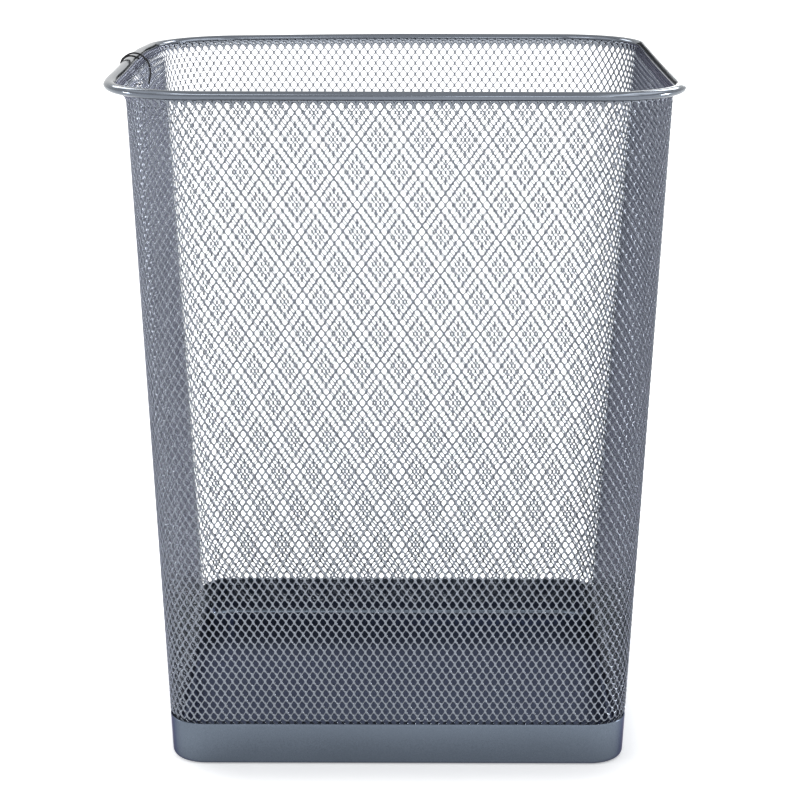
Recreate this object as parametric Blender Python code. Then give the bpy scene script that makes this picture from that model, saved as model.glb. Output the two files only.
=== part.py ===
"""Mesh wastebasket: a tapered, rounded-square wall of expanded steel between a drawn steel pan and a rolled steel rim.

Metres, +Z up. The origin is the middle of the pan's underside. The front of the basket faces -Y.
"""

import math

import bmesh
import bpy

# Overall size
HEIGHT = 0.350

# Pan: outside sizes at the top edge of its skirt
PAN_HALF_WIDTH = 0.1183
PAN_CORNER_RADIUS = 0.0190
PAN_HEIGHT = 0.0226
PAN_THICKNESS = 0.0008
PAN_DRAFT = 0.0011
PAN_EDGE_RADIUS = 0.0032
PAN_LIP_ROUND_SHARE = 0.25

# Mesh wall: outside face, where it meets the rim's lip and where it stands over the pan
WALL_TOP_HALF_WIDTH = 0.1335
WALL_TOP_RADIUS = 0.0397
WALL_FOOT_OVERHANG = 0.0003
WALL_THICKNESS = 0.0012
STRAND_WIDTH = 0.0036
EDGE_BAND = 0.0045
LIP_BAND = 0.0022
JOGGLE_RISE = 0.0022
TUCK_LIFT = 0.0022
COLUMNS = 32
HALF_ROWS = 13

# Rim: a rolled, flattened tube with a slot for the wall's lip, whose line crosses the tube's mid height at the inset
RIM_WIDTH = 0.0062
RIM_HEIGHT = 0.0046
RIM_THICKNESS = 0.0006
RIM_REACH = 0.0052
LIP_SLOPE = math.radians(50)
LIP_INSET = 0.0010
LIP_STOP = 0.0007

# Loop of thin cord round the rim, at its left side
LOOP_CORD_DIAMETER = 0.0009

# Shared
CLEARANCE = 0.0003
CORNER_STEPS = 8
EDGE_STEPS = 4
OUTER_ARC_STEPS = 16
INNER_ARC_STEPS = 12
LOOP_SAMPLES = 44
ROUTE_STEPS = 24
SMOOTH_ANGLE = math.radians(50)

# Derived places
RIM_Z = HEIGHT - RIM_HEIGHT / 2
RIM_HALF_WIDTH = WALL_TOP_HALF_WIDTH + RIM_REACH
RIM_CORNER_RADIUS = WALL_TOP_RADIUS + RIM_REACH
LIP_LENGTH = (RIM_REACH + WALL_THICKNESS / 2 - LIP_INSET) / math.cos(LIP_SLOPE)
BEND_Z = RIM_Z - LIP_LENGTH * math.sin(LIP_SLOPE)
FOOT_Z = PAN_HEIGHT + JOGGLE_RISE
FOOT_HALF_WIDTH = PAN_HALF_WIDTH + WALL_FOOT_OVERHANG
FOOT_RADIUS = PAN_CORNER_RADIUS + WALL_FOOT_OVERHANG
TUCK_END_Z = PAN_EDGE_RADIUS + TUCK_LIFT
LATTICE_BOTTOM_Z = FOOT_Z + EDGE_BAND
LATTICE_TOP_Z = BEND_Z - LIP_BAND


def clear_scene():
    for item in list(bpy.data.objects):
        bpy.data.objects.remove(item, do_unlink=True)


def make_material(name, colour, roughness, metallic):
    material = bpy.data.materials.new(name)
    material.use_nodes = True
    shader = material.node_tree.nodes["Principled BSDF"]
    shader.inputs["Base Color"].default_value = (*colour, 1.0)
    shader.inputs["Roughness"].default_value = roughness
    shader.inputs["Metallic"].default_value = metallic
    material.diffuse_color = (*colour, 1.0)
    return material


def finish_object(name, bm, material):
    """Turns a bmesh into a named object with smooth shading and its own material."""
    bmesh.ops.recalc_face_normals(bm, faces=bm.faces)
    mesh = bpy.data.meshes.new(name)
    bm.to_mesh(mesh)
    bm.free()
    mesh.shade_smooth()
    mesh.set_sharp_from_angle(angle=SMOOTH_ANGLE)
    mesh.materials.append(material)
    item = bpy.data.objects.new(name, mesh)
    bpy.context.scene.collection.objects.link(item)
    return item


def rounded_square_point(half_width, radius, share):
    """The point at a share of the way round a rounded square, from the middle of its front side, anticlockwise."""
    side = round(4 * share)
    flat = half_width - radius
    quarter = 2 * flat + radius * math.pi / 2
    along = (4 * share - side) * quarter
    if abs(along) <= flat:
        x, y = along, -half_width
    else:
        angle = (abs(along) - flat) / radius
        x = math.copysign(flat + radius * math.sin(angle), along)
        y = -flat - radius * math.cos(angle)
    turn = side * math.pi / 2
    return (x * math.cos(turn) - y * math.sin(turn), x * math.sin(turn) + y * math.cos(turn))


def corner_shares(half_width, radius):
    """Shares of the way round at which a rounded square has its corner points, CORNER_STEPS steps to a corner."""
    flat = half_width - radius
    quarter = 2 * flat + radius * math.pi / 2
    shares = []
    for side in range(4):
        for step in range(CORNER_STEPS + 1):
            arc = radius * math.pi / 2 * step / CORNER_STEPS
            shares.append((side + (flat + arc) / quarter) / 4)
    return shares


def add_ring(bm, half_width, radius, z, shares=None):
    """A ring of vertices round a rounded square; its shares are kept beside it."""
    shares = corner_shares(half_width, radius) if shares is None else shares
    verts = [bm.verts.new((*rounded_square_point(half_width, radius, share), z)) for share in shares]
    return verts, shares


def join_rings(bm, lower, upper):
    """Quads between two rings with the same number of vertices."""
    count = len(lower)
    for i in range(count):
        k = (i + 1) % count
        bm.faces.new((lower[i], lower[k], upper[k], upper[i]))


def zip_rings(bm, lower, upper):
    """Triangles between two rings whose vertices lie at different shares of the way round."""
    (low, low_shares), (high, high_shares) = lower, upper
    i = k = 0
    while i < len(low) or k < len(high):
        next_low = low_shares[i + 1] if i + 1 < len(low) else 1 + low_shares[(i + 1) % len(low)]
        next_high = high_shares[k + 1] if k + 1 < len(high) else 1 + high_shares[(k + 1) % len(high)]
        here, there = low[i % len(low)], high[k % len(high)]
        if i < len(low) and (k == len(high) or next_low <= next_high):
            i += 1
            bm.faces.new((here, low[i % len(low)], there))
        else:
            k += 1
            bm.faces.new((here, high[k % len(high)], there))


def sweep_profile(bm, profile, half_width, radius):
    """Sweeps a closed profile of (outward, z) points round a rounded square."""
    rings = [add_ring(bm, half_width + out, radius + out, z)[0] for out, z in profile]
    for lower, upper in zip(rings, rings[1:] + rings[:1]):
        join_rings(bm, lower, upper)


def arc_points(centre, radii, start, end, steps):
    """Points (outward, z) on an arc of a circle or an oval, both ends included. radii: across and up."""
    points = []
    for step in range(steps + 1):
        angle = start + (end - start) * step / steps
        points.append((centre[0] + radii[0] * math.cos(angle), centre[1] + radii[1] * math.sin(angle)))
    return points


def wall_section(z):
    """Half width and corner radius of the wall's middle surface at a height, between the pan and the lip."""
    share = (z - FOOT_Z) / (BEND_Z - FOOT_Z)
    half_width = FOOT_HALF_WIDTH + (WALL_TOP_HALF_WIDTH - FOOT_HALF_WIDTH) * share
    radius = FOOT_RADIUS + (WALL_TOP_RADIUS - FOOT_RADIUS) * share
    return half_width - WALL_THICKNESS / 2, radius - WALL_THICKNESS / 2


def tuck_section(z):
    """Half width and corner radius of the wall's middle surface where it stands inside the pan's skirt."""
    inset = PAN_THICKNESS + CLEARANCE + WALL_THICKNESS / 2 + PAN_DRAFT * (PAN_HEIGHT - z) / PAN_HEIGHT
    return PAN_HALF_WIDTH - inset, PAN_CORNER_RADIUS - inset


def add_pan():
    """Drawn pan: flat floor, rounded lower edge and a low skirt that leans out slightly."""
    lean = PAN_DRAFT / PAN_HEIGHT
    corner = (-PAN_DRAFT - PAN_EDGE_RADIUS, PAN_EDGE_RADIUS)
    inside_radius = PAN_EDGE_RADIUS - PAN_THICKNESS
    outside = arc_points(corner, (PAN_EDGE_RADIUS, PAN_EDGE_RADIUS), -math.pi / 2, -math.atan(lean), EDGE_STEPS)
    inside = arc_points(corner, (inside_radius, inside_radius), -math.atan(lean), -math.pi / 2, EDGE_STEPS)
    lip_round = PAN_THICKNESS * PAN_LIP_ROUND_SHARE
    crest = PAN_HEIGHT - lip_round
    profile = outside
    profile += [(0.0, crest), (-lip_round, PAN_HEIGHT)]
    profile += [(lip_round - PAN_THICKNESS, PAN_HEIGHT), (-PAN_THICKNESS, crest)]
    profile += inside
    bm = bmesh.new()
    rings = [add_ring(bm, PAN_HALF_WIDTH + out, PAN_CORNER_RADIUS + out, z)[0] for out, z in profile]
    for lower, upper in zip(rings, rings[1:]):
        join_rings(bm, lower, upper)
    bm.faces.new(list(reversed(rings[0])))
    bm.faces.new(rings[-1])
    paint = make_material("pan_paint", (0.17, 0.20, 0.245), 0.42, 0.55)
    return finish_object("base_pan", bm, paint)


def slot_edge(radii, offset):
    """The angle at which an oval of the rim's section meets a line beside the lip's, at an offset towards outside."""
    across = radii[0] * math.sin(LIP_SLOPE)
    up = -radii[1] * math.cos(LIP_SLOPE)
    reach = offset - LIP_INSET * math.sin(LIP_SLOPE)
    return math.atan2(up, across) - math.acos(reach / math.hypot(across, up))


def add_rim():
    """Rolled rim: a flattened tube with a slot on its inner underside that the wall's lip runs into."""
    slot_half = WALL_THICKNESS / 2 + CLEARANCE
    outer = (RIM_WIDTH / 2, RIM_HEIGHT / 2)
    inner = (outer[0] - RIM_THICKNESS, outer[1] - RIM_THICKNESS)
    centre = (0.0, RIM_Z)
    turn = 2 * math.pi
    profile = arc_points(
        centre, outer, slot_edge(outer, slot_half), slot_edge(outer, -slot_half) + turn, OUTER_ARC_STEPS
    )
    profile += arc_points(
        centre, inner, slot_edge(inner, -slot_half) + turn, slot_edge(inner, slot_half), INNER_ARC_STEPS
    )
    bm = bmesh.new()
    sweep_profile(bm, profile, RIM_HALF_WIDTH, RIM_CORNER_RADIUS)
    paint = make_material("rim_paint", (0.30, 0.32, 0.35), 0.28, 0.75)
    return finish_object("rim_tube", bm, paint)


def lattice_point(bm, share, z):
    half_width, radius = wall_section(z)
    return bm.verts.new((*rounded_square_point(half_width, radius, share), z))


def add_lattice(bm):
    """Diamond openings in staggered half rows; returns the lattice's lower and upper edge rings."""
    half_height = (LATTICE_TOP_Z - LATTICE_BOTTOM_Z) / HALF_ROWS
    step = 0.5 / COLUMNS
    nodes = {}
    for row in range(HALF_ROWS + 1):
        for column in range(2 * COLUMNS):
            if (row + column) % 2 == 0 or row in (0, HALF_ROWS):
                z = LATTICE_BOTTOM_Z + row * half_height
                nodes[row, column] = lattice_point(bm, column * step, z)
    for row in range(HALF_ROWS + 1):
        for column in range(2 * COLUMNS):
            if (row + column) % 2 == 1:
                add_opening(bm, nodes, row, column, half_height, step)
    shares = [column * step for column in range(2 * COLUMNS)]
    return [([nodes[row, column] for column in range(2 * COLUMNS)], shares) for row in (0, HALF_ROWS)]


def add_opening(bm, nodes, row, column, half_height, step):
    """The four strands round one opening; on an edge row the opening is a half diamond over a straight edge."""
    z = LATTICE_BOTTOM_Z + row * half_height
    half_width, radius = wall_section(z)
    perimeter = 8 * (half_width - radius) + 2 * math.pi * radius
    reach = perimeter * step
    gap = 1 - STRAND_WIDTH / (2 * reach * half_height / math.hypot(reach, half_height))
    left, right = nodes[row, (column - 1) % (2 * COLUMNS)], nodes[row, (column + 1) % (2 * COLUMNS)]
    centre_share = column * step
    outline = []
    if row < HALF_ROWS:
        outline.append((nodes[row + 1, column], (centre_share, z + gap * half_height)))
    else:
        outline.append((nodes[row, column], (centre_share, z - STRAND_WIDTH / 2)))
    cut = gap if 0 < row < HALF_ROWS else gap - STRAND_WIDTH / 2 / half_height
    side_z = z if 0 < row < HALF_ROWS else z + math.copysign(STRAND_WIDTH / 2, 1 if row == 0 else -1)
    outline.append((left, (centre_share - cut * step, side_z)))
    if row > 0:
        outline.append((nodes[row - 1, column], (centre_share, z - gap * half_height)))
    else:
        outline.append((nodes[row, column], (centre_share, z + STRAND_WIDTH / 2)))
    outline.append((right, (centre_share + cut * step, side_z)))
    inner = [lattice_point(bm, share, height) for _, (share, height) in outline]
    for i in range(4):
        k = (i + 1) % 4
        bm.faces.new((outline[i][0], outline[k][0], inner[k], inner[i]))


def add_wall():
    """Expanded sheet: lattice, a tucked lower edge inside the pan and a lip that runs into the rim."""
    bm = bmesh.new()
    lattice_bottom, lattice_top = add_lattice(bm)
    foot = add_ring(bm, *wall_section(FOOT_Z), FOOT_Z)
    tuck_top = add_ring(bm, *tuck_section(PAN_HEIGHT), PAN_HEIGHT)[0]
    tuck_end = add_ring(bm, *tuck_section(TUCK_END_Z), TUCK_END_Z)[0]
    zip_rings(bm, foot, lattice_bottom)
    join_rings(bm, tuck_top, foot[0])
    join_rings(bm, tuck_end, tuck_top)
    bend = add_ring(bm, *wall_section(BEND_Z), BEND_Z)
    lip_out = (LIP_LENGTH - LIP_STOP) * math.cos(LIP_SLOPE)
    lip_z = RIM_Z - LIP_STOP * math.sin(LIP_SLOPE)
    half_width, radius = wall_section(BEND_Z)
    lip = add_ring(bm, half_width + lip_out, radius + lip_out, lip_z)[0]
    zip_rings(bm, lattice_top, bend)
    join_rings(bm, bend[0], lip)
    paint = make_material("mesh_paint", (0.22, 0.235, 0.265), 0.38, 0.6)
    wall = finish_object("mesh_wall", bm, paint)
    solidify = wall.modifiers.new("sheet", "SOLIDIFY")
    solidify.thickness = WALL_THICKNESS
    solidify.offset = 0.0
    solidify.use_even_offset = True
    return wall


def smooth_route(points, samples):
    """Points along a Catmull-Rom curve through a route's own points, evenly spaced along it."""
    fine = []
    padded = [points[0], *points, points[-1]]
    for a, b, c, d in zip(padded, padded[1:], padded[2:], padded[3:]):
        for step in range(ROUTE_STEPS):
            t = step / ROUTE_STEPS
            fine.append(
                tuple(
                    0.5 * (2 * q + (r - p) * t + (2 * p - 5 * q + 4 * r - s) * t**2 + (3 * q - p - 3 * r + s) * t**3)
                    for p, q, r, s in zip(a, b, c, d)
                )
            )
    fine.append(points[-1])
    lengths = [0.0]
    for a, b in zip(fine, fine[1:]):
        lengths.append(lengths[-1] + math.dist(a, b))
    route, k = [], 0
    for i in range(samples):
        target = lengths[-1] * i / (samples - 1)
        while k < len(fine) - 2 and lengths[k + 1] < target:
            k += 1
        share = (target - lengths[k]) / (lengths[k + 1] - lengths[k])
        route.append(tuple(p + (q - p) * share for p, q in zip(fine[k], fine[k + 1])))
    return route


# The loop's route, as (inward, back, up) from the middle of the rim's left side:
# out of the wall's outer face, up round the rim, over it and down to the wall's inner face
LOOP_ROUTE = [
    (0.0050, -0.0114, -0.0094),
    (0.0027, -0.0112, -0.0098),
    (-0.0005, -0.0103, -0.0093),
    (-0.0038, -0.0085, -0.0075),
    (-0.0065, -0.0051, -0.0045),
    (-0.0083, -0.0005, -0.0009),
    (-0.0081, 0.0018, 0.0014),
    (-0.0069, 0.0038, 0.0028),
    (-0.0050, 0.0056, 0.0040),
    (-0.0031, 0.0070, 0.0046),
    (-0.0011, 0.0070, 0.0046),
    (0.0013, 0.0062, 0.0040),
    (0.0036, 0.0035, 0.0027),
    (0.0058, -0.0010, 0.0011),
    (0.0072, -0.0042, -0.0012),
    (0.0078, -0.0072, -0.0040),
    (0.0078, -0.0100, -0.0068),
    (0.0074, -0.0122, -0.0092),
]


def add_loop():
    """A free loop of thin cord that comes out of the wall, goes round the rim and back to the wall inside."""
    route = [(-RIM_HALF_WIDTH + inward, back, RIM_Z + up) for inward, back, up in LOOP_ROUTE]
    curve = bpy.data.curves.new("tag_loop", "CURVE")
    curve.dimensions = "3D"
    curve.bevel_depth = LOOP_CORD_DIAMETER / 2
    curve.bevel_resolution = 2
    curve.use_fill_caps = True
    spline = curve.splines.new("POLY")
    points = smooth_route(route, LOOP_SAMPLES)
    spline.points.add(len(points) - 1)
    for target, point in zip(spline.points, points):
        target.co = (*point, 1.0)
    spline.use_smooth = True
    curve.materials.append(make_material("loop_cord", (0.012, 0.012, 0.014), 0.45, 0.0))
    item = bpy.data.objects.new("tag_loop", curve)
    bpy.context.scene.collection.objects.link(item)
    return item


clear_scene()
add_pan()
add_wall()
add_rim()
add_loop()
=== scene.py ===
"""Looks of the mesh wastebasket: fine expanded mesh, rolled rim, drawn pan and a loop of cord.

Metres, +Z up."""

import math

import bpy
import numpy as np
from mathutils import Euler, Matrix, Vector


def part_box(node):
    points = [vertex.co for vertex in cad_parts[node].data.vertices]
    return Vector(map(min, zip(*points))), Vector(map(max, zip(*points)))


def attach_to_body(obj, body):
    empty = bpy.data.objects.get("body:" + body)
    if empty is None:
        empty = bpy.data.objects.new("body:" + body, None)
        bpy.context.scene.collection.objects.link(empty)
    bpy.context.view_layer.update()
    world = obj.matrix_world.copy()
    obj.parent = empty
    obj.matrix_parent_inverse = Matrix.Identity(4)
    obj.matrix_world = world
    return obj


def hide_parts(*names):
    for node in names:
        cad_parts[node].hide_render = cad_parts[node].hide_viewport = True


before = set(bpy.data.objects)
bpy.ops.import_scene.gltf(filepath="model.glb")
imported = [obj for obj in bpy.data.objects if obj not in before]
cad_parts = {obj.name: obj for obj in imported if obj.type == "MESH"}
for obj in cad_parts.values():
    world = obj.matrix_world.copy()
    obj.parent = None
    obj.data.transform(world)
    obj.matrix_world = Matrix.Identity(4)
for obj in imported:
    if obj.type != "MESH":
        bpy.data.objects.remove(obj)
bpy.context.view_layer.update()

# Sizes shared with the CAD model
HEIGHT = 0.350
PAN_HALF_WIDTH = 0.1183
PAN_CORNER_RADIUS = 0.0190
PAN_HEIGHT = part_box("base_pan")[1].z
PAN_THICKNESS = 0.0008
PAN_DRAFT = 0.0011
PAN_EDGE_RADIUS = 0.0032
WALL_TOP_HALF_WIDTH = 0.1335
WALL_TOP_RADIUS = 0.0397
WALL_FOOT_OVERHANG = 0.0003
WALL_THICKNESS = 0.0012
JOGGLE_RISE = 0.0022
TUCK_LIFT = 0.0022
RIM_WIDTH = 0.0062
RIM_HEIGHT = 0.0046
RIM_THICKNESS = 0.0006
RIM_REACH = 0.0052
CLEARANCE = 0.0003
RIM_Z = HEIGHT - RIM_HEIGHT / 2
RIM_HALF_WIDTH = WALL_TOP_HALF_WIDTH + RIM_REACH
RIM_CORNER_RADIUS = WALL_TOP_RADIUS + RIM_REACH

# Divisions of the pan and the rim
FLAT_STEPS = 24
CORNER_STEPS = 16
PAN_EDGE_MARGIN = 0.0006
PAN_FLOOR_INSETS = (0.100, 0.060, 0.020, 0.008, PAN_EDGE_RADIUS + PAN_EDGE_MARGIN)
PAN_SKIRT_LEVELS = (0.006, 0.010, 0.014, 0.018)
PAN_LIP_MARGIN = 0.0012
PAN_LEAST_RADIUS = 0.002
PAN_EDGE_POINTS, PAN_LIP_POINTS, PAN_INSIDE_POINTS = 9, 9, 7
RIM_OUTER_POINTS, RIM_INNER_POINTS = 48, 32

# The slot in the rim's section, as two angles, and where the mesh ends inside it
RIM_SLOT = (math.radians(182), math.radians(204))
MESH_TOP_INSET, MESH_TOP_DROP = 0.0003, 0.0001
# The height at which the mesh turns out into the rim, and how far its outer face stands past the CAD's
TURN_Z = 0.3420
MESH_SWELL = 0.0005

# How far the left side of the rim is knocked outwards, by place from front to back
LEFT_BULGE = [
    (-0.145, 0.0010), (-0.120, 0.0018), (-0.1025, 0.0026), (-0.090, 0.0038), (-0.075, 0.0045),
    (-0.050, 0.0042), (-0.020, 0.0043), (0.0, 0.0046), (0.012, 0.0049), (0.022, 0.0043),
    (0.060, 0.0040), (0.085, 0.0023), (0.12, 0.0005), (0.145, 0.0),
]
# How far the right side is knocked inwards
RIGHT_DENT = [
    (-0.145, 0.0009), (-0.05, 0.0011), (0.0, 0.0010), (0.06, 0.0006), (0.12, 0.0003), (0.145, 0.0),
]
# How far to the side the bend sets in and is full
BEND_START, BEND_END = 0.0950, 0.1350
# The height at which the wall begins to lean out with the rim, by place from front to back
BEND_LOW = [
    (-0.100, 0.3405), (-0.060, 0.331), (-0.030, 0.331), (-0.018, 0.3385), (-0.006, 0.3385),
    (0.006, 0.329), (0.060, 0.327), (0.100, 0.3405),
]
# The height at which it leans in full
BEND_HIGH = 0.3465
# How far the back of the rim hangs down, from its left corner to its middle
REAR_SAG = [(-0.140, 0.0016), (-0.085, 0.0010), (-0.040, 0.0004), (0.0, 0.0)]
# How far back the sag sets in and is full, and the height at which it sets in
SAG_START, SAG_END = 0.03, 0.12
SAG_LOW = 0.335

# Fine mesh: the number of columns of holes all the way round
COLUMNS = 222
SIDE_COLUMNS = COLUMNS / 4
# The distance along the wall from one row of holes to the next, by height
ROW_PITCH = [(0.0, 0.00328), (0.025, 0.00327), (0.345, 0.00318)]
# How far the rows are shifted up in the middle of the front and of the back, in rows
FRONT_ROW_SHIFT, BACK_ROW_SHIFT = 0.10, 0.35
# How much wider than average the columns stand in the middle of the front and of the back, by height
FRONT_STRETCH = [
    (0.025, -0.015), (0.042, -0.014), (0.080, 0.012), (0.144, 0.044), (0.2215, 0.026), (0.3065, 0.0),
]
BACK_STRETCH = [(0.025, 0.0), (0.0735, 0.027), (0.165, 0.031), (0.266, 0.031), (0.33, 0.026)]
# One quarter of a hole's outline, from its side to its tip: across, up and the share of the strands' twist
HOLE_OUTLINE = [(0.00162, 0.00042, 0.35), (0.00102, 0.00130, 1.0), (0.00038, 0.00212, 0.7)]
RING_POINTS = 4 * len(HOLE_OUTLINE)
# The size of the holes against that outline, by height
HOLE_SIZE = [
    (0.02, 0.92), (0.10, 0.95), (0.20, 1.00), (0.34, 1.04), (0.3425, 0.98), (0.3437, 0.30), (0.348, 0.25),
]
SHEET_THICKNESS = 0.00042
# How far the strands' edges turn out of the sheet, by share of the way round from the middle of the front
STRAND_TWIST = [
    (0.0, 0.00020), (0.33, 0.00020), (0.375, 0.00028), (0.42, 0.00020), (0.63, 0.00020),
    (0.68, -0.00020), (0.83, -0.00020), (0.87, 0.00020), (1.0, 0.00020),
]
SURFACE_SAMPLES = 4000

# Loop of cord, as (inward, back, up) from the middle of the rim's left side
LOOP_ROUTE = [
    (0.0050, -0.0114, -0.0094), (0.0027, -0.0112, -0.0098), (-0.0005, -0.0103, -0.0093),
    (-0.0038, -0.0085, -0.0075), (-0.0065, -0.0051, -0.0045), (-0.0083, -0.0005, -0.0009),
    (-0.0081, 0.0018, 0.0014), (-0.0069, 0.0038, 0.0028), (-0.0050, 0.0056, 0.0040),
    (-0.0031, 0.0070, 0.0046), (-0.0011, 0.0070, 0.0046), (0.0013, 0.0062, 0.0040),
    (0.0036, 0.0035, 0.0027), (0.0058, -0.0010, 0.0011), (0.0072, -0.0042, -0.0012),
    (0.0078, -0.0072, -0.0040), (0.0078, -0.0100, -0.0068), (0.0074, -0.0122, -0.0092),
]
LOOP_DIAMETER = 0.0009
LOOP_SAMPLES = 44
# The loop's second strand where it crosses over the rim, in the same terms
STRAND_ROUTE = [
    (-0.0078, -0.0010, 0.0012), (-0.0068, 0.0008, 0.0024), (-0.0055, 0.0026, 0.0032),
    (-0.0040, 0.0036, 0.0035), (-0.0022, 0.0034, 0.0034), (-0.0004, 0.0024, 0.0029),
    (0.0012, 0.0008, 0.0023),
]
STRAND_SAMPLES = 20
ROUTE_STEPS = 24
CORD_ROUNDNESS = 3

# Camera, fitted to the photograph
CAMERA_PLACE = (0.0005, -1.272, 0.488)
CAMERA_PITCH, CAMERA_YAW, CAMERA_ROLL = 0.249, -0.0002, 0.0024
CAMERA_LENS = 108.0
SENSOR_WIDTH = 36.0

# World: the light it gives, and the background, which is white low down and greyer overhead
AMBIENT_COLOUR, AMBIENT_STRENGTH = (0.95, 0.97, 1.0, 1), 0.55
WHITE = (1, 1, 1, 1)
SKY_WHITE_TO, SKY_GREY_FROM, SKY_GREY = 0.30, 0.95, 0.8

# Floor
FLOOR_HALF_SIZE = 6.0
FLOOR_COLOUR, FLOOR_ROUGHNESS, FLOOR_SHINE = (0.88, 0.88, 0.88, 1), 0.9, 0.2
# The floor's glow is weaker round the object, a painted shade on the floor there: the middle and half sizes
# of that patch, the distances from it at which the glow begins to rise and is full, and the weaker glow's
# strength
SHADE_MIDDLE, SHADE_CORE = (0.008, 0, 0), (0.079, 0.100, 0)
SHADE_NEAR, SHADE_FAR, SHADE_STRENGTH = 0.025, 0.075, 0.35

# Lamps: name, place, the point that it faces, size and power
LAMPS = [
    ("top", (0.0, -0.3, 2.2), (0, 0, 0.2), (2.4, 2.4), 5),
    ("right_over", (0.9, -0.9, 1.6), (0, 0, 0.3), (0.9, 1.4), 7),
    ("left_over", (-0.9, -0.7, 1.6), (0, 0, 0.3), (0.5, 1.0), 2),
]
# Lamps that only show as streaks in the paint's shine
STREAKS = [
    ("left_above", (-1.05, 0.0, 1.45), (0, 0, 0.35), (0.9, 1.0), 2.5),
    ("right_above", (1.05, 0.0, 1.45), (0, 0, 0.35), (0.9, 1.0), 6),
    ("left_back", (-0.8, 1.1, 1.2), (0, 0, 0.35), (0.5, 0.5), 4.5),
    ("right_back", (0.8, 1.1, 1.2), (0, 0, 0.35), (0.5, 0.5), 7),
    ("left_front", (-0.55, -0.95, 1.85), (-0.1, -0.1, 0.35), (0.9, 0.4), 5.5),
    ("right_front", (0.5, -2.0, 1.05), (0.1, -0.1, 0.35), (0.9, 0.35), 6),
    ("left_low", (-1.6, 0.05, 0.15), (0, 0, 0.15), (0.30, 0.25), 5),
    ("right_low", (1.6, 0.10, 0.15), (0, 0, 0.15), (0.35, 0.25), 12),
    ("right_behind", (0.30, 0.58, 0.36), (0.30, 0, 0.36), (0.26, 0.30), 0.6),
]
# A black card behind the object and above the picture, which only shows in the shine
CARD_LEFT, CARD_RIGHT, CARD_LOW, CARD_HIGH, CARD_BACK = -0.085, 0.14, 0.36, 0.46, 0.6
CARD_COLOUR, CARD_ROUGHNESS = (0.01, 0.01, 0.012, 1), 0.9

# Paints and the cord's finish. edge: the tint of the shine at a low angle. contrast, relief: the grain's
PAN_PAINT = dict(
    colour=(0.114, 0.137, 0.170), roughness=0.18, metallic=0.90,
    edge=(0.34, 0.32, 0.42), contrast=0.10, relief=0.06,
)
RIM_PAINT = dict(
    colour=(0.145, 0.162, 0.190), roughness=0.12, metallic=0.90,
    edge=(0.88, 0.89, 0.89), contrast=0.05, relief=0.03,
)
MESH_PAINT = dict(
    colour=(0.199, 0.217, 0.246), roughness=0.19, metallic=0.90,
    edge=(0.36, 0.34, 0.45), contrast=0.10, relief=0.0,
)
CORD_FINISH = dict(
    colour=(0.004, 0.004, 0.006), roughness=0.7, metallic=0.0,
    edge=(1, 1, 1), contrast=0.10, relief=0.0,
)
CORD_SHINE = 0.2
GRAIN_SCALE, GRAIN_DETAIL, GRAIN_DEPTH = 1500, 2.0, 0.0001
PATCH_SCALE, PATCH_DETAIL, PATCH_CONTRAST = 12, 1.0, 0.06
ROUGHNESS_SPREAD = 0.15
NOISE_LOW, NOISE_HIGH = 0.3, 0.7


def table(pairs, at):
    """The value at a place, between those of the pairs of place and value."""
    places, values = zip(*pairs)
    return np.interp(at, places, values)


def smoothstep(low, high, at):
    t = np.clip((at - low) / (high - low), 0, 1)
    return t * t * (3 - 2 * t)


def rounded_square(half_width, radius, share):
    """Points on a rounded square and their outward directions. All three arguments may be arrays.

    share: how much of the way round, anticlockwise from the middle of the front side."""
    side = np.round(4 * share)
    flat = half_width - radius
    quarter = 2 * flat + radius * np.pi / 2
    along = (4 * share - side) * quarter
    angle = np.clip((np.abs(along) - flat) / radius, 0, None)
    inside = np.abs(along) <= flat
    x = np.where(inside, along, np.sign(along) * (flat + radius * np.sin(angle)))
    y = np.where(inside, -half_width, -flat - radius * np.cos(angle))
    out_x = np.where(inside, 0, np.sign(along) * np.sin(angle))
    out_y = np.where(inside, -1, -np.cos(angle))
    c, s = np.cos(side * np.pi / 2), np.sin(side * np.pi / 2)
    return x * c - y * s, x * s + y * c, out_x * c - out_y * s, out_x * s + out_y * c


def perimeter(half_width, radius):
    return 8 * (half_width - radius) + 2 * np.pi * radius


def knocked(points):
    """The rim and the lip under it, with the left side pushed out, the right side in and the back down."""
    points = np.array(points, float)
    x, y, z = points[..., 0], points[..., 1], points[..., 2]
    share = smoothstep(table(BEND_LOW, y), BEND_HIGH, z) * smoothstep(BEND_START, BEND_END, np.abs(x))
    points[..., 0] = x - share * np.where(x < 0, table(LEFT_BULGE, y), table(RIGHT_DENT, y))
    sag = table(REAR_SAG, x) * smoothstep(SAG_START, SAG_END, y) * smoothstep(SAG_LOW, BEND_HIGH, z)
    points[..., 2] = z - sag
    return points


def square_loop(half_width, radius):
    """Points round a rounded square with the corners closely divided, as an array of x and y."""
    flat = half_width - radius
    along = np.linspace(-flat, flat, FLAT_STEPS + 1)
    angle = np.linspace(0, np.pi / 2, CORNER_STEPS + 1)[1:-1]
    x = np.concatenate([along, flat + radius * np.sin(angle)])
    y = np.concatenate([np.full(len(along), -half_width), -flat - radius * np.cos(angle)])
    sides = []
    for quarter in range(4):
        c, s = round(math.cos(quarter * math.pi / 2)), round(math.sin(quarter * math.pi / 2))
        sides.append(np.stack([x * c - y * s, x * s + y * c], axis=-1))
    return np.concatenate(sides)


def add_object(name, data, material):
    """An object in the scene from a mesh or a curve."""
    data.materials.append(material)
    item = bpy.data.objects.new(name, data)
    bpy.context.scene.collection.objects.link(item)
    return item


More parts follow.
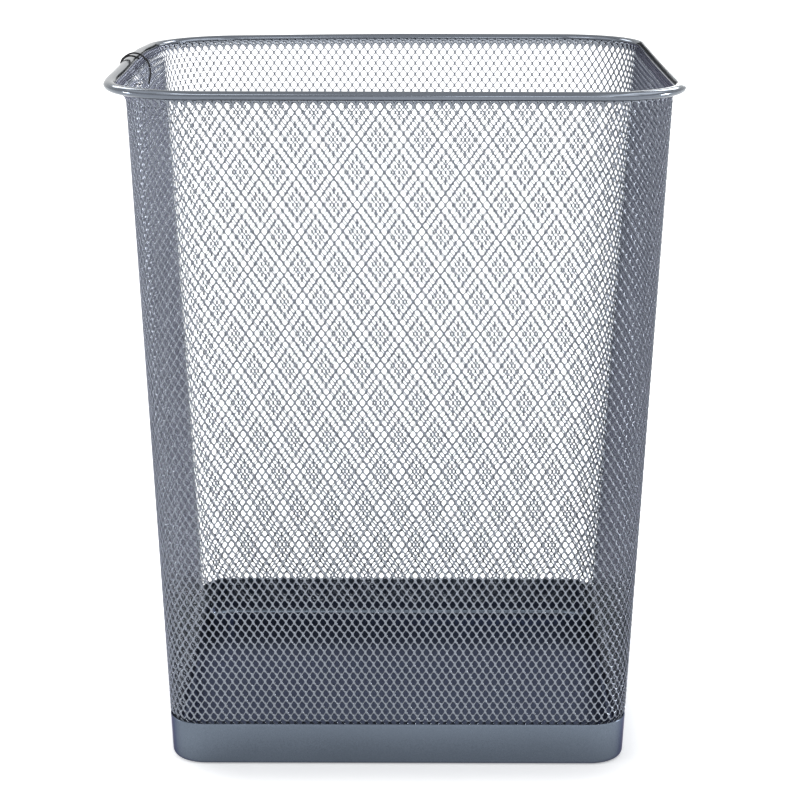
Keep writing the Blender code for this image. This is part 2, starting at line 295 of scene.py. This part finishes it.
def swept(name, profile, material, closed, bend=False):
    """A section carried round a rounded square. An open one is closed by a flat face at each end.

    profile: half width, corner radius and height of each of the section's points."""
    loops = [square_loop(half, radius) for half, radius, z in profile]
    around = len(loops[0])
    levels = [np.full((around, 1), z) for half, radius, z in profile]
    points = np.concatenate([np.concatenate(pair, axis=1) for pair in zip(loops, levels)])
    faces = []
    for i in range(len(profile) if closed else len(profile) - 1):
        low, high = i * around, (i + 1) % len(profile) * around
        for k in range(around):
            ahead = (k + 1) % around
            faces.append((low + k, low + ahead, high + ahead, high + k))
    if not closed:
        faces.append(tuple(range(around))[::-1])
        faces.append(tuple((len(profile) - 1) * around + k for k in range(around)))
    mesh = bpy.data.meshes.new(name)
    mesh.from_pydata((knocked(points) if bend else points).tolist(), [], faces)
    mesh.shade_smooth()
    return add_object(name, mesh, material)


def pan_profile():
    """The pan's section: from mid underside up the skirt, over the lip and down to its floor."""
    low_half = PAN_HALF_WIDTH - PAN_DRAFT
    low_radius = PAN_CORNER_RADIUS - PAN_DRAFT
    slope = PAN_DRAFT / PAN_HEIGHT

    def at(inset, z):
        return low_half + slope * z - inset, max(low_radius + slope * z - inset, PAN_LEAST_RADIUS), z

    section = [at(inset, 0) for inset in PAN_FLOOR_INSETS]
    for a in np.linspace(-math.pi / 2, 0, PAN_EDGE_POINTS):
        section.append(at(PAN_EDGE_RADIUS * (1 - math.cos(a)), PAN_EDGE_RADIUS * (1 + math.sin(a))))
    for z in (*PAN_SKIRT_LEVELS, PAN_HEIGHT - PAN_LIP_MARGIN):
        section.append(at(0, z))
    lip = PAN_THICKNESS / 2
    for a in np.linspace(0, math.pi, PAN_LIP_POINTS):
        section.append(at(lip * (1 - math.cos(a)), PAN_HEIGHT - lip * (1 - math.sin(a))))
    for z in reversed(PAN_SKIRT_LEVELS):
        section.append(at(PAN_THICKNESS, z))
    inner = PAN_EDGE_RADIUS - PAN_THICKNESS
    for a in np.linspace(0, -math.pi / 2, PAN_INSIDE_POINTS):
        section.append(at(PAN_THICKNESS + inner * (1 - math.cos(a)), PAN_EDGE_RADIUS + inner * math.sin(a)))
    section += [at(inset, PAN_THICKNESS) for inset in reversed(PAN_FLOOR_INSETS)]
    return section


def rim_profile():
    """The rolled rim's section: an outer and an inner oval, open low on the inside for the mesh."""
    slot_start, slot_end = RIM_SLOT
    whole_turn = 2 * math.pi
    across, up = RIM_WIDTH / 2, RIM_HEIGHT / 2
    outer = [(across, up, a) for a in np.linspace(slot_end, slot_start + whole_turn, RIM_OUTER_POINTS)]
    across, up = across - RIM_THICKNESS, up - RIM_THICKNESS
    inner = [(across, up, a) for a in np.linspace(slot_start + whole_turn, slot_end, RIM_INNER_POINTS)]
    return [
        (RIM_HALF_WIDTH + w * math.cos(a), RIM_CORNER_RADIUS + w * math.cos(a), RIM_Z + h * math.sin(a))
        for w, h, a in outer + inner
    ]


def wall_profile():
    """The mesh from its edge inside the pan up into the rim: half width, corner radius and height."""
    depth = WALL_THICKNESS / 2

    def tucked(z):
        inset = PAN_THICKNESS + CLEARANCE + depth + PAN_DRAFT * (PAN_HEIGHT - z) / PAN_HEIGHT
        return PAN_HALF_WIDTH - inset, PAN_CORNER_RADIUS - inset, z

    foot = (
        PAN_HALF_WIDTH + WALL_FOOT_OVERHANG - depth,
        PAN_CORNER_RADIUS + WALL_FOOT_OVERHANG - depth,
        PAN_HEIGHT + JOGGLE_RISE,
    )
    swell = MESH_SWELL - SHEET_THICKNESS / 2
    turn = (WALL_TOP_HALF_WIDTH + swell, WALL_TOP_RADIUS + swell, TURN_Z)
    inset = RIM_WIDTH / 2 - MESH_TOP_INSET
    top = (RIM_HALF_WIDTH - inset, RIM_CORNER_RADIUS - inset, RIM_Z - MESH_TOP_DROP)
    return np.array([tucked(PAN_EDGE_RADIUS + TUCK_LIFT), tucked(PAN_HEIGHT), foot, turn, top])


class WallSurface:
    """The mesh's middle surface, addressed by share of the way round and by row of holes."""

    def __init__(self, profile):
        steps = np.hypot(np.diff(profile[:, 0]), np.diff(profile[:, 2]))
        lengths = np.concatenate([[0], np.cumsum(steps)])
        self.along = np.linspace(0, lengths[-1], SURFACE_SAMPLES)
        self.half, self.radius, self.z = (np.interp(self.along, lengths, profile[:, i]) for i in range(3))
        step = self.along[1]
        self.rise = np.gradient(self.z, step)
        self.lean = np.gradient(self.half, step)
        self.pitch = table(ROW_PITCH, self.z)
        self.row = np.concatenate([[0], np.cumsum(step / self.pitch[:-1])])

    def points(self, share, row, offset):
        """Points at an offset along the outward normal."""
        along = np.interp(row, self.row, self.along)
        measures = (self.half, self.radius, self.z, self.rise, self.lean)
        half, radius, z, rise, lean = (np.interp(along, self.along, measure) for measure in measures)
        x, y, out_x, out_y = rounded_square(half, radius, share)
        places = (x + offset * out_x * rise, y + offset * out_y * rise, z - offset * lean)
        return knocked(np.stack(places, axis=-1))

    def share(self, column, row):
        """The share of the way round at which a column stands: even, but for the stretch in mid side."""
        side = np.round(column / SIDE_COLUMNS)
        across = column - SIDE_COLUMNS * side
        z = np.interp(row, self.row, self.z)
        front, back = table(FRONT_STRETCH, z), table(BACK_STRETCH, z)
        between = (front + back) / 2
        stretch = np.choose(side.astype(int) % 4, [front, between, back, between])
        bulge = stretch * SIDE_COLUMNS / (2 * np.pi) * np.sin(2 * np.pi * across / SIDE_COLUMNS)
        return (column + bulge) / COLUMNS % 1


def hole_ring():
    """A hole's outline: its quarter, turned round to the other three."""
    quarter = np.array(HOLE_OUTLINE)
    left_up = (quarter * (-1, 1, -1))[::-1]
    left_down = quarter * (-1, -1, -1)
    right_down = (quarter * (1, -1, 1))[::-1]
    return np.concatenate([quarter, left_up, left_down, right_down]).T


def hole_points(surface, rows):
    """Points round all holes, by row, column and place in the ring: the outer face's, then the inner's."""
    ring_x, ring_y, ring_twist = hole_ring()
    row, column, point = np.meshgrid(
        np.arange(rows), np.arange(COLUMNS), np.arange(RING_POINTS), indexing="ij"
    )
    centre = column + 0.5 * (row % 2)
    middle = row + 0.5
    pitch = np.interp(middle, surface.row, surface.pitch)
    half, radius = (np.interp(middle, surface.row, measure) for measure in (surface.half, surface.radius))
    width = perimeter(half, radius) / COLUMNS
    size = table(HOLE_SIZE, np.interp(middle, surface.row, surface.z))
    facing = np.cos(2 * np.pi * centre / COLUMNS)
    shift = FRONT_ROW_SHIFT * (1 + facing) / 2 + BACK_ROW_SHIFT * (1 - facing) / 2
    place = np.clip(middle + size * ring_y[point] / pitch + shift, 0, surface.row[-1])
    share = surface.share(centre + size * ring_x[point] / width, place)
    twist = table(STRAND_TWIST, centre / COLUMNS % 1) * ring_twist[point]
    faces = [surface.points(share, place, twist + side * SHEET_THICKNESS / 2) for side in (1, -1)]
    return np.concatenate([face.reshape(-1, 3) for face in faces])


def outer_quads(rows):
    """The strands and knots between the holes, as quads of the outer face, with each one's row and column.

    A ring's points run anticlockwise: 0 to 2 from its right side up to its tip, 3 to 5 down to its left
    side, 6 to 8 down to its foot and 9 to 11 back up."""
    row, column = np.meshgrid(np.arange(rows), np.arange(COLUMNS), indexing="ij")
    odd = row % 2
    up = row + 1 < rows
    down = row > 0
    here, right = (row, column), (row, column + 1)
    right_up, right_down = (row + 1, column + odd), (row - 1, column + odd)
    # Where each kind of quad is, and its corners as a hole and a point of that hole's ring
    kinds = [
        (up, ((here, 0), (right_up, 8), (right_up, 7), (here, 1))),
        (up, ((here, 1), (right_up, 7), (right_up, 6), (here, 2))),
        (down, ((here, 11), (here, 10), (right_down, 4), (right_down, 3))),
        (down, ((here, 10), (here, 9), (right_down, 5), (right_down, 4))),
        (up | down, ((right, 6), (right, 5), (here, 0), (here, 11))),
        (up, ((right, 5), (right_up, 9), (right_up, 8), (here, 0))),
        (down, ((here, 11), (right_down, 3), (right_down, 2), (right, 6))),
    ]

    def ring_point(hole, k):
        return (hole[0] * COLUMNS + hole[1] % COLUMNS) * RING_POINTS + k

    quads = [np.stack([ring_point(hole, k)[there] for hole, k in corners], -1) for there, corners in kinds]
    owners = [(row[there], column[there]) for there, corners in kinds]
    return np.concatenate(quads), *(np.concatenate(places) for places in zip(*owners))


def closed_shell(outer, count):
    """Outer quads, the inner face's quads behind them and the edge faces that close the two.

    count: how many points the outer face has before the inner face's follow."""
    ahead = np.roll(outer, -1, axis=1)
    keys = outer.astype(np.int64) * count + ahead
    reverse = ahead.astype(np.int64) * count + outer
    border = ~np.isin(keys, reverse)
    start, end = outer[border], ahead[border]
    edges = np.stack([end, start, start + count, end + count], axis=-1)
    return np.concatenate([outer, outer[:, ::-1] + count, edges])


def quad_mesh(name, points, quads):
    """A smooth mesh from arrays of points and quads."""
    mesh = bpy.data.meshes.new(name)
    mesh.vertices.add(len(points))
    mesh.vertices.foreach_set("co", np.asarray(points, np.float32).ravel())
    mesh.loops.add(4 * len(quads))
    mesh.loops.foreach_set("vertex_index", np.asarray(quads, np.int32).ravel())
    mesh.polygons.add(len(quads))
    mesh.polygons.foreach_set("loop_start", np.arange(0, 4 * len(quads), 4, dtype=np.int32))
    mesh.update(calc_edges=True)
    mesh.shade_smooth()
    return mesh


def add_wall(material):
    """The fine mesh, in a lower and an upper piece on each side."""
    surface = WallSurface(wall_profile())
    rows = math.ceil(surface.row[-1])
    points = hole_points(surface, rows)
    outer, row, column = outer_quads(rows)
    # A side runs from mid corner to mid corner: an eighth of the way round to each hand of its own middle
    side = np.floor(4 * ((column + 0.5) / COLUMNS + 1 / 8)).astype(int) % 4
    upper = row >= rows // 2
    for i, side_name in enumerate(("front", "right", "back", "left")):
        for is_upper, band_name in enumerate(("lower", "upper")):
            shell = closed_shell(outer[(side == i) & (upper == is_upper)], len(points) // 2)
            used, quads = np.unique(shell, return_inverse=True)
            name = f"mesh_{side_name}_{band_name}"
            piece = add_object(name, quad_mesh(name, points[used], quads.reshape(-1, 4)), material)
            attach(piece, "mesh_wall")


def attach(piece, node):
    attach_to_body(piece, "root")
    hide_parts(node)


def smooth_route(points, samples):
    """Points along a smooth curve through a route's own points, evenly spaced, and the curve's length."""
    padded = np.array([points[0], *points, points[-1]])
    fine = []
    for before, start, end, after in zip(padded, padded[1:], padded[2:], padded[3:]):
        square = 2 * before - 5 * start + 4 * end - after
        cube = 3 * start - before - 3 * end + after
        for t in np.arange(ROUTE_STEPS) / ROUTE_STEPS:
            fine.append(0.5 * (2 * start + (end - before) * t + square * t**2 + cube * t**3))
    fine = np.array([*fine, padded[-1]])
    lengths = np.concatenate([[0], np.cumsum(np.linalg.norm(np.diff(fine, axis=0), axis=1))])
    places = np.linspace(0, lengths[-1], samples)
    return np.stack([np.interp(places, lengths, fine[:, i]) for i in range(3)], axis=-1), lengths[-1]


def add_strand(name, route, material):
    curve = bpy.data.curves.new(name, "CURVE")
    curve.dimensions = "3D"
    curve.bevel_depth = LOOP_DIAMETER / 2
    curve.bevel_resolution = CORD_ROUNDNESS
    curve.use_fill_caps = True
    spline = curve.splines.new("POLY")
    spline.points.add(len(route) - 1)
    for place, point in zip(spline.points, route):
        place.co = (*point, 1)
    return add_object(name, curve, material)


def add_cord(material):
    rim_side = np.array((-RIM_HALF_WIDTH, 0, RIM_Z))
    route, length = smooth_route(LOOP_ROUTE, LOOP_SAMPLES)
    route = rim_side + route
    cord = add_strand("tag_loop_cord", route, material)
    attach(cord, "tag_loop")
    second, _ = smooth_route(STRAND_ROUTE, STRAND_SAMPLES)
    strand = add_strand("tag_loop_strand", rim_side + second, material)
    attach(strand, "tag_loop")


def add_camera():
    data = bpy.data.cameras.new("view")
    data.lens = CAMERA_LENS
    data.sensor_width = SENSOR_WIDTH
    camera = bpy.data.objects.new("view", data)
    camera.location = CAMERA_PLACE
    turn = Euler((0, 0, CAMERA_YAW)).to_matrix() @ Euler((math.pi / 2 - CAMERA_PITCH, 0, 0)).to_matrix()
    camera.rotation_euler = (turn @ Euler((0, 0, CAMERA_ROLL)).to_matrix()).to_euler()
    bpy.context.scene.collection.objects.link(camera)
    bpy.context.scene.camera = camera
    bpy.context.scene.view_settings.view_transform = "Standard"


def add_softbox(name, place, target, size, power, shine_only):
    """A lamp. With shine_only it gives highlights and no other light."""
    data = bpy.data.lights.new(name, "AREA")
    data.shape = "RECTANGLE"
    data.size, data.size_y = size
    data.energy = power
    lamp = bpy.data.objects.new(name, data)
    lamp.location = place
    lamp.rotation_mode = "QUATERNION"
    lamp.rotation_quaternion = (Vector(target) - Vector(place)).to_track_quat("-Z", "Y")
    lamp.visible_diffuse = not shine_only
    lamp.visible_camera = False
    bpy.context.scene.collection.objects.link(lamp)


def background_rays(tree):
    """An output that is 1 for camera, glossy and transmission rays, and 0 for all others."""
    rays = tree.nodes.new("ShaderNodeLightPath")
    seen = rays.outputs["Is Camera Ray"]
    for kind in ("Is Glossy Ray", "Is Transmission Ray"):
        either = tree.nodes.new("ShaderNodeMath")
        either.operation = "MAXIMUM"
        tree.links.new(seen, either.inputs[0])
        tree.links.new(rays.outputs[kind], either.inputs[1])
        seen = either.outputs[0]
    return seen


def smooth_fade(tree, source, start, end, low, high):
    """An output that goes smoothly from low to high while the source goes from start to end."""
    fade = tree.nodes.new("ShaderNodeMapRange")
    fade.interpolation_type = "SMOOTHSTEP"
    fade.inputs["From Min"].default_value = start
    fade.inputs["From Max"].default_value = end
    fade.inputs["To Min"].default_value = low
    fade.inputs["To Max"].default_value = high
    tree.links.new(source, fade.inputs["Value"])
    return fade.outputs[0]


def add_world():
    """Soft light for the surfaces, and a background that is white at the horizon and greyer overhead."""
    world = bpy.data.worlds.new("studio")
    world.use_nodes = True
    tree = world.node_tree
    tree.nodes.clear()
    out = tree.nodes.new("ShaderNodeOutputWorld")
    mix = tree.nodes.new("ShaderNodeMixShader")
    ambient = tree.nodes.new("ShaderNodeBackground")
    ambient.inputs["Color"].default_value = AMBIENT_COLOUR
    ambient.inputs["Strength"].default_value = AMBIENT_STRENGTH
    seen = tree.nodes.new("ShaderNodeBackground")
    seen.inputs["Color"].default_value = WHITE
    place = tree.nodes.new("ShaderNodeTexCoord")
    split = tree.nodes.new("ShaderNodeSeparateXYZ")
    link = tree.links.new
    link(place.outputs["Generated"], split.inputs[0])
    sky = smooth_fade(tree, split.outputs["Z"], SKY_WHITE_TO, SKY_GREY_FROM, 1.0, SKY_GREY)
    link(sky, seen.inputs["Strength"])
    link(background_rays(tree), mix.inputs["Fac"])
    link(ambient.outputs[0], mix.inputs[1])
    link(seen.outputs[0], mix.inputs[2])
    link(mix.outputs[0], out.inputs["Surface"])
    bpy.context.scene.world = world


def add_stage_sheet(name, corners, colour, roughness):
    """A flat sheet that belongs to the studio."""
    mesh = bpy.data.meshes.new(name)
    mesh.from_pydata(corners, [], [(0, 1, 2, 3)])
    material = bpy.data.materials.new(name)
    material.use_nodes = True
    shader = material.node_tree.nodes["Principled BSDF"]
    shader.inputs["Base Color"].default_value = colour
    shader.inputs["Roughness"].default_value = roughness
    sheet = add_object(name, mesh, material)
    return sheet


def add_floor():
    """A pale floor that is white away from the object, with a painted shade close to it: its glow is dimmed
    there, so the object's shadow shows.
    """
    size = FLOOR_HALF_SIZE
    corners = [(-size, -size, 0), (size, -size, 0), (size, size, 0), (-size, size, 0)]
    floor = add_stage_sheet("floor", corners, FLOOR_COLOUR, FLOOR_ROUGHNESS)
    tree = floor.active_material.node_tree
    shader = tree.nodes["Principled BSDF"]
    shader.inputs["Specular IOR Level"].default_value = FLOOR_SHINE
    shader.inputs["Emission Color"].default_value = WHITE
    link = tree.links.new
    source = tree.nodes.new("ShaderNodeTexCoord").outputs["Object"]
    for operation, value in (
        ("SUBTRACT", SHADE_MIDDLE),
        ("ABSOLUTE", None),
        ("SUBTRACT", SHADE_CORE),
        ("MAXIMUM", (0, 0, 0)),
    ):
        step = tree.nodes.new("ShaderNodeVectorMath")
        step.operation = operation
        if value is not None:
            step.inputs[1].default_value = value
        link(source, step.inputs[0])
        source = step.outputs[0]
    away = tree.nodes.new("ShaderNodeVectorMath")
    away.operation = "LENGTH"
    link(source, away.inputs[0])
    # Painted shade: the floor's glow is dimmed near the object and rises to full further out
    painted_shade_glow = smooth_fade(tree, away.outputs["Value"], SHADE_NEAR, SHADE_FAR, SHADE_STRENGTH, 1.0)
    scale = tree.nodes.new("ShaderNodeMath")
    scale.operation = "MULTIPLY"
    link(background_rays(tree), scale.inputs[0])
    link(painted_shade_glow, scale.inputs[1])
    link(scale.outputs[0], shader.inputs["Emission Strength"])


def add_card():
    """The black card, which the shine shows as a dark line along the rim's two side rails."""
    corners = [
        (CARD_LEFT, CARD_BACK, CARD_LOW), (CARD_RIGHT, CARD_BACK, CARD_LOW),
        (CARD_RIGHT, CARD_BACK, CARD_HIGH), (CARD_LEFT, CARD_BACK, CARD_HIGH),
    ]
    card = add_stage_sheet("black_card", corners, CARD_COLOUR, CARD_ROUGHNESS)
    card.visible_camera = False
    card.visible_diffuse = False
    card.visible_shadow = False


def speckled(name, colour, roughness, metallic, edge, contrast, relief):
    """A fine grain in colour, gloss and relief, and slow changes of tone across the surface."""
    material = bpy.data.materials.new(name)
    material.use_nodes = True
    tree = material.node_tree
    shader = tree.nodes["Principled BSDF"]
    link = tree.links.new
    place = tree.nodes.new("ShaderNodeTexCoord")

    def noise(scale, detail):
        node = tree.nodes.new("ShaderNodeTexNoise")
        node.inputs["Scale"].default_value = scale
        node.inputs["Detail"].default_value = detail
        link(place.outputs["Object"], node.inputs["Vector"])
        return node.outputs["Fac"]

    def around(source, value, spread):
        """The value, less or more by up to the spread as the noise goes."""
        node = tree.nodes.new("ShaderNodeMapRange")
        node.inputs["From Min"].default_value = NOISE_LOW
        node.inputs["From Max"].default_value = NOISE_HIGH
        node.inputs["To Min"].default_value = value * (1 - spread)
        node.inputs["To Max"].default_value = value * (1 + spread)
        link(source, node.inputs["Value"])
        return node.outputs[0]

    fine = noise(GRAIN_SCALE, GRAIN_DETAIL)
    slow = noise(PATCH_SCALE, PATCH_DETAIL)
    tone = tree.nodes.new("ShaderNodeMath")
    tone.operation = "MULTIPLY"
    link(around(fine, 1, contrast), tone.inputs[0])
    link(around(slow, 1, PATCH_CONTRAST), tone.inputs[1])
    shade = tree.nodes.new("ShaderNodeVectorMath")
    shade.operation = "SCALE"
    shade.inputs[0].default_value = colour
    link(tone.outputs[0], shade.inputs["Scale"])
    link(shade.outputs[0], shader.inputs["Base Color"])
    link(around(fine, roughness, ROUGHNESS_SPREAD), shader.inputs["Roughness"])
    shader.inputs["Metallic"].default_value = metallic
    shader.inputs["Specular Tint"].default_value = (*edge, 1)
    if relief:
        bump = tree.nodes.new("ShaderNodeBump")
        bump.inputs["Strength"].default_value = relief
        bump.inputs["Distance"].default_value = GRAIN_DEPTH
        link(fine, bump.inputs["Height"])
        link(bump.outputs[0], shader.inputs["Normal"])
    return material


add_camera()
cord_black = speckled("cord_black", **CORD_FINISH)
cord_black.node_tree.nodes["Principled BSDF"].inputs["Specular IOR Level"].default_value = CORD_SHINE
add_cord(cord_black)
add_world()
add_floor()
add_card()
for lamp in LAMPS:
    add_softbox(*lamp, shine_only=False)
for lamp in STREAKS:
    add_softbox(*lamp, shine_only=True)

pan_paint = speckled("pan_paint_metallic", **PAN_PAINT)
rim_paint = speckled("rim_paint_metallic", **RIM_PAINT)
mesh_paint = speckled("mesh_paint_metallic", **MESH_PAINT)
attach(swept("drawn_pan", pan_profile(), pan_paint, closed=False), "base_pan")
attach(swept("rolled_rim", rim_profile(), rim_paint, closed=True, bend=True), "rim_tube")
add_wall(mesh_paint)
